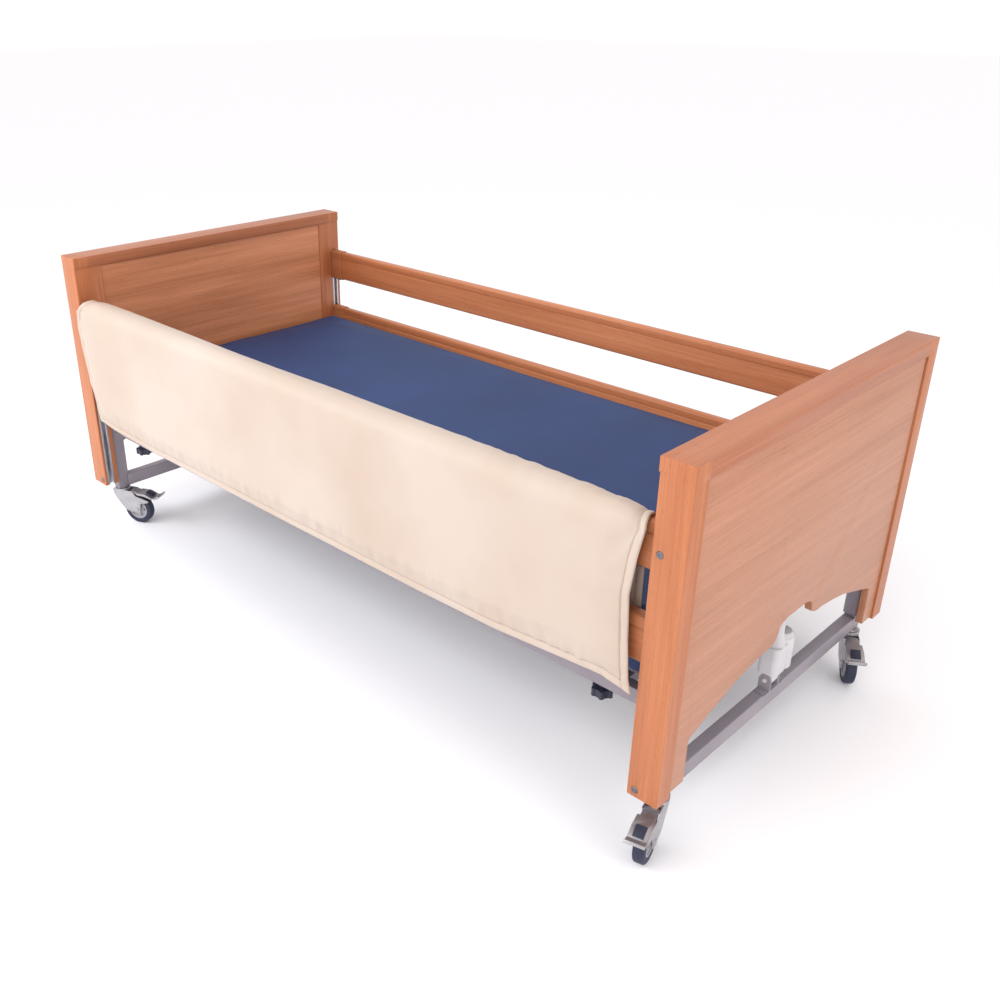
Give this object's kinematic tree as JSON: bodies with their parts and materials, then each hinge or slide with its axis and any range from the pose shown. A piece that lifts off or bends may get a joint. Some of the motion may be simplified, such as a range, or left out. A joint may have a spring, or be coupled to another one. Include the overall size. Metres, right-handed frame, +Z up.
{
  "type": "hospital bed",
  "caption": "Adjustable hospital bed: wooden end boards on lift columns, four-section deck with mattress, drop-down wooden side rails, braked castors and a padded rail cover.",
  "frame": {"origin": "floor level under the middle of the bed, halfway between the outermost points of its castors and boards", "axes": "+X to the foot end, +Y to the far side (the side without the padded cover), +Z up"},
  "size_m": [2.3154, 1.1535, 0.894],
  "materials": {
    "beech": "satin lacquer, vertical grain",
    "panel_wood": "satin lacquer, horizontal grain",
    "inner_wood": "satin lacquer",
    "painted_steel": "satin powder coat, warm grey",
    "silver_metal": "satin",
    "bright_steel": "turned",
    "tyre": "matt",
    "hub_plastic": "matt",
    "actuator_plastic": "matt",
    "dark_plastic": "fine texture",
    "cap_plastic": "wood-coloured, matt",
    "mattress_cover": "coated woven cover",
    "cover_leather": "soft upholstery leather cloth"
  },
  "bodies": {
    "foot_base": {"foot_base_frame": "painted_steel", "foot_lift_motor": "actuator_plastic"},
    "bed_frame": {"foot_lift_frame": "painted_steel", "head_lift_frame": "painted_steel", "lift_rods": "bright_steel", "foot_board_frame": "beech", "foot_outer_panel": "panel_wood", "foot_inner_panel": "inner_wood", "head_board_frame": "beech", "head_outer_panel": "panel_wood", "head_inner_panel": "inner_wood", "rail_channels": "silver_metal", "channel_bolts": "bright_steel", "chassis": "painted_steel", "hand_knobs": "dark_plastic", "control_box": "dark_plastic", "hinge_pins": "bright_steel", "seat_deck": "painted_steel", "back_motor": "actuator_plastic", "knee_motor": "actuator_plastic", "mattress_seat": "mattress_cover", "mattress_folds": "mattress_cover"},
    "head_base": {"head_base_frame": "painted_steel", "head_lift_motor": "actuator_plastic"},
    "backrest": {"back_deck": "painted_steel", "mattress_back": "mattress_cover"},
    "thigh_rest": {"thigh_deck": "painted_steel", "knee_pins": "bright_steel", "mattress_thigh": "mattress_cover"},
    "calf_rest": {"calf_deck": "painted_steel", "mattress_calf": "mattress_cover"},
    "back_push_rod": {"back_rod": "bright_steel"},
    "knee_push_rod": {"knee_rod": "bright_steel"},
    "near_rails": {"near_upper_rail": "beech", "near_lower_rail": "beech", "near_rail_caps": "cap_plastic", "padded_cover": "cover_leather"},
    "far_rails": {"far_upper_rail": "beech", "far_lower_rail": "beech", "far_rail_caps": "cap_plastic"},
    "near_head_catch": {"near_head_catch": "dark_plastic"},
    "near_foot_catch": {"near_foot_catch": "dark_plastic"},
    "far_head_catch": {"far_head_catch": "dark_plastic"},
    "far_foot_catch": {"far_foot_catch": "dark_plastic"},
    "foot_near_castor": {"foot_near_fork": "silver_metal"},
    "foot_near_wheel": {"foot_near_hub": "hub_plastic", "foot_near_tyre": "tyre"},
    "foot_near_brake": {"foot_near_pedal": "silver_metal"},
    "foot_far_castor": {"foot_far_fork": "silver_metal"},
    "foot_far_wheel": {"foot_far_hub": "hub_plastic", "foot_far_tyre": "tyre"},
    "foot_far_brake": {"foot_far_pedal": "silver_metal"},
    "head_near_castor": {"head_near_fork": "silver_metal"},
    "head_near_wheel": {"head_near_hub": "hub_plastic", "head_near_tyre": "tyre"},
    "head_near_brake": {"head_near_pedal": "silver_metal"},
    "head_far_castor": {"head_far_fork": "silver_metal"},
    "head_far_wheel": {"head_far_hub": "hub_plastic", "head_far_tyre": "tyre"},
    "head_far_brake": {"head_far_pedal": "silver_metal"}
  },
  "joints": [
    {"name": "lift", "type": "slide", "parent": "foot_base", "child": "bed_frame", "axis": [0, 0, 1], "range_m": [0, 0.4]},
    {"name": "head_lift", "type": "slide", "parent": "bed_frame", "child": "head_base", "axis": [0, 0, -1], "range_m": [0, 0.4]},
    {"name": "back_raise", "type": "hinge", "parent": "bed_frame", "child": "backrest", "pos_m": [-0.185, 0, 0.372], "axis": [0, 1, 0], "range_deg": [0, 70], "deforming": ["mattress_folds"]},
    {"name": "thigh_raise", "type": "hinge", "parent": "bed_frame", "child": "thigh_rest", "pos_m": [0.075, 0, 0.372], "axis": [0, -1, 0], "range_deg": [0, 32], "deforming": ["mattress_folds"]},
    {"name": "calf_fold", "type": "hinge", "parent": "thigh_rest", "child": "calf_rest", "pos_m": [0.4, 0, 0.372], "axis": [0, 1, 0], "range_deg": [0, 49]},
    {"name": "back_push", "type": "slide", "parent": "bed_frame", "child": "back_push_rod", "axis": [-1, 0, 0], "range_m": [0, 0.166]},
    {"name": "knee_push", "type": "slide", "parent": "bed_frame", "child": "knee_push_rod", "axis": [1, 0, 0], "range_m": [0, 0.068]},
    {"name": "near_rails_drop", "type": "slide", "parent": "bed_frame", "child": "near_rails", "axis": [0, 0, -1], "range_m": [0, 0.24]},
    {"name": "far_rails_drop", "type": "slide", "parent": "bed_frame", "child": "far_rails", "axis": [0, 0, -1], "range_m": [0, 0.24]},
    {"name": "near_head_catch_press", "type": "slide", "parent": "near_rails", "child": "near_head_catch", "axis": [0, 0, 1], "range_m": [0, 0.005], "stiffness_N_per_m": 800},
    {"name": "near_foot_catch_press", "type": "slide", "parent": "near_rails", "child": "near_foot_catch", "axis": [0, 0, 1], "range_m": [0, 0.005], "stiffness_N_per_m": 800},
    {"name": "far_head_catch_press", "type": "slide", "parent": "far_rails", "child": "far_head_catch", "axis": [0, 0, 1], "range_m": [0, 0.005], "stiffness_N_per_m": 800},
    {"name": "far_foot_catch_press", "type": "slide", "parent": "far_rails", "child": "far_foot_catch", "axis": [0, 0, 1], "range_m": [0, 0.005], "stiffness_N_per_m": 800},
    {"name": "foot_near_swivel", "type": "hinge", "parent": "foot_base", "child": "foot_near_castor", "pos_m": [1.052, -0.438, 0.118], "axis": [0, 0, 1], "continuous": true},
    {"name": "foot_near_roll", "type": "hinge", "parent": "foot_near_castor", "child": "foot_near_wheel", "pos_m": [1.06675, -0.49306, 0.05], "axis": [0.9659, 0.2588, 0], "continuous": true},
    {"name": "foot_near_brake_press", "type": "hinge", "parent": "foot_near_castor", "child": "foot_near_brake", "pos_m": [1.06184, -0.4747, 0.11], "axis": [0.9659, 0.2588, 0], "range_deg": [0, 7]},
    {"name": "foot_far_swivel", "type": "hinge", "parent": "foot_base", "child": "foot_far_castor", "pos_m": [1.052, 0.438, 0.118], "axis": [0, 0, 1], "continuous": true},
    {"name": "foot_far_roll", "type": "hinge", "parent": "foot_far_castor", "child": "foot_far_wheel", "pos_m": [1.08304, 0.3902, 0.05], "axis": [0.8387, 0.5446, 0], "continuous": true},
    {"name": "foot_far_brake_press", "type": "hinge", "parent": "foot_far_castor", "child": "foot_far_brake", "pos_m": [1.0727, 0.40613, 0.11], "axis": [0.8387, 0.5446, 0], "range_deg": [0, 7]},
    {"name": "head_near_swivel", "type": "hinge", "parent": "head_base", "child": "head_near_castor", "pos_m": [-1.052, -0.438, 0.118], "axis": [0, 0, 1], "continuous": true},
    {"name": "head_near_roll", "type": "hinge", "parent": "head_near_castor", "child": "head_near_wheel", "pos_m": [-1.00034, -0.41391, 0.05], "axis": [-0.4226, 0.9063, 0], "continuous": true},
    {"name": "head_near_brake_press", "type": "hinge", "parent": "head_near_castor", "child": "head_near_brake", "pos_m": [-1.01756, -0.42194, 0.11], "axis": [-0.4226, 0.9063, 0], "range_deg": [0, 7]},
    {"name": "head_far_swivel", "type": "hinge", "parent": "head_base", "child": "head_far_castor", "pos_m": [-1.052, 0.438, 0.118], "axis": [0, 0, 1], "continuous": true},
    {"name": "head_far_roll", "type": "hinge", "parent": "head_far_castor", "child": "head_far_wheel", "pos_m": [-1.08864, 0.48167, 0.05], "axis": [-0.766, -0.6428, 0], "continuous": true},
    {"name": "head_far_brake_press", "type": "hinge", "parent": "head_far_castor", "child": "head_far_brake", "pos_m": [-1.07643, 0.46711, 0.11], "axis": [-0.766, -0.6428, 0], "range_deg": [0, 7]}
  ],
  "couplings": [
    {"joint": "head_lift", "follows": "lift", "ratio": 1},
    {"joint": "calf_fold", "follows": "thigh_raise", "ratio": 1.52},
    {"joint": "back_push", "follows": "back_raise", "m_per_rad": 0.13526},
    {"joint": "knee_push", "follows": "thigh_raise", "m_per_rad": 0.1212}
  ]
}
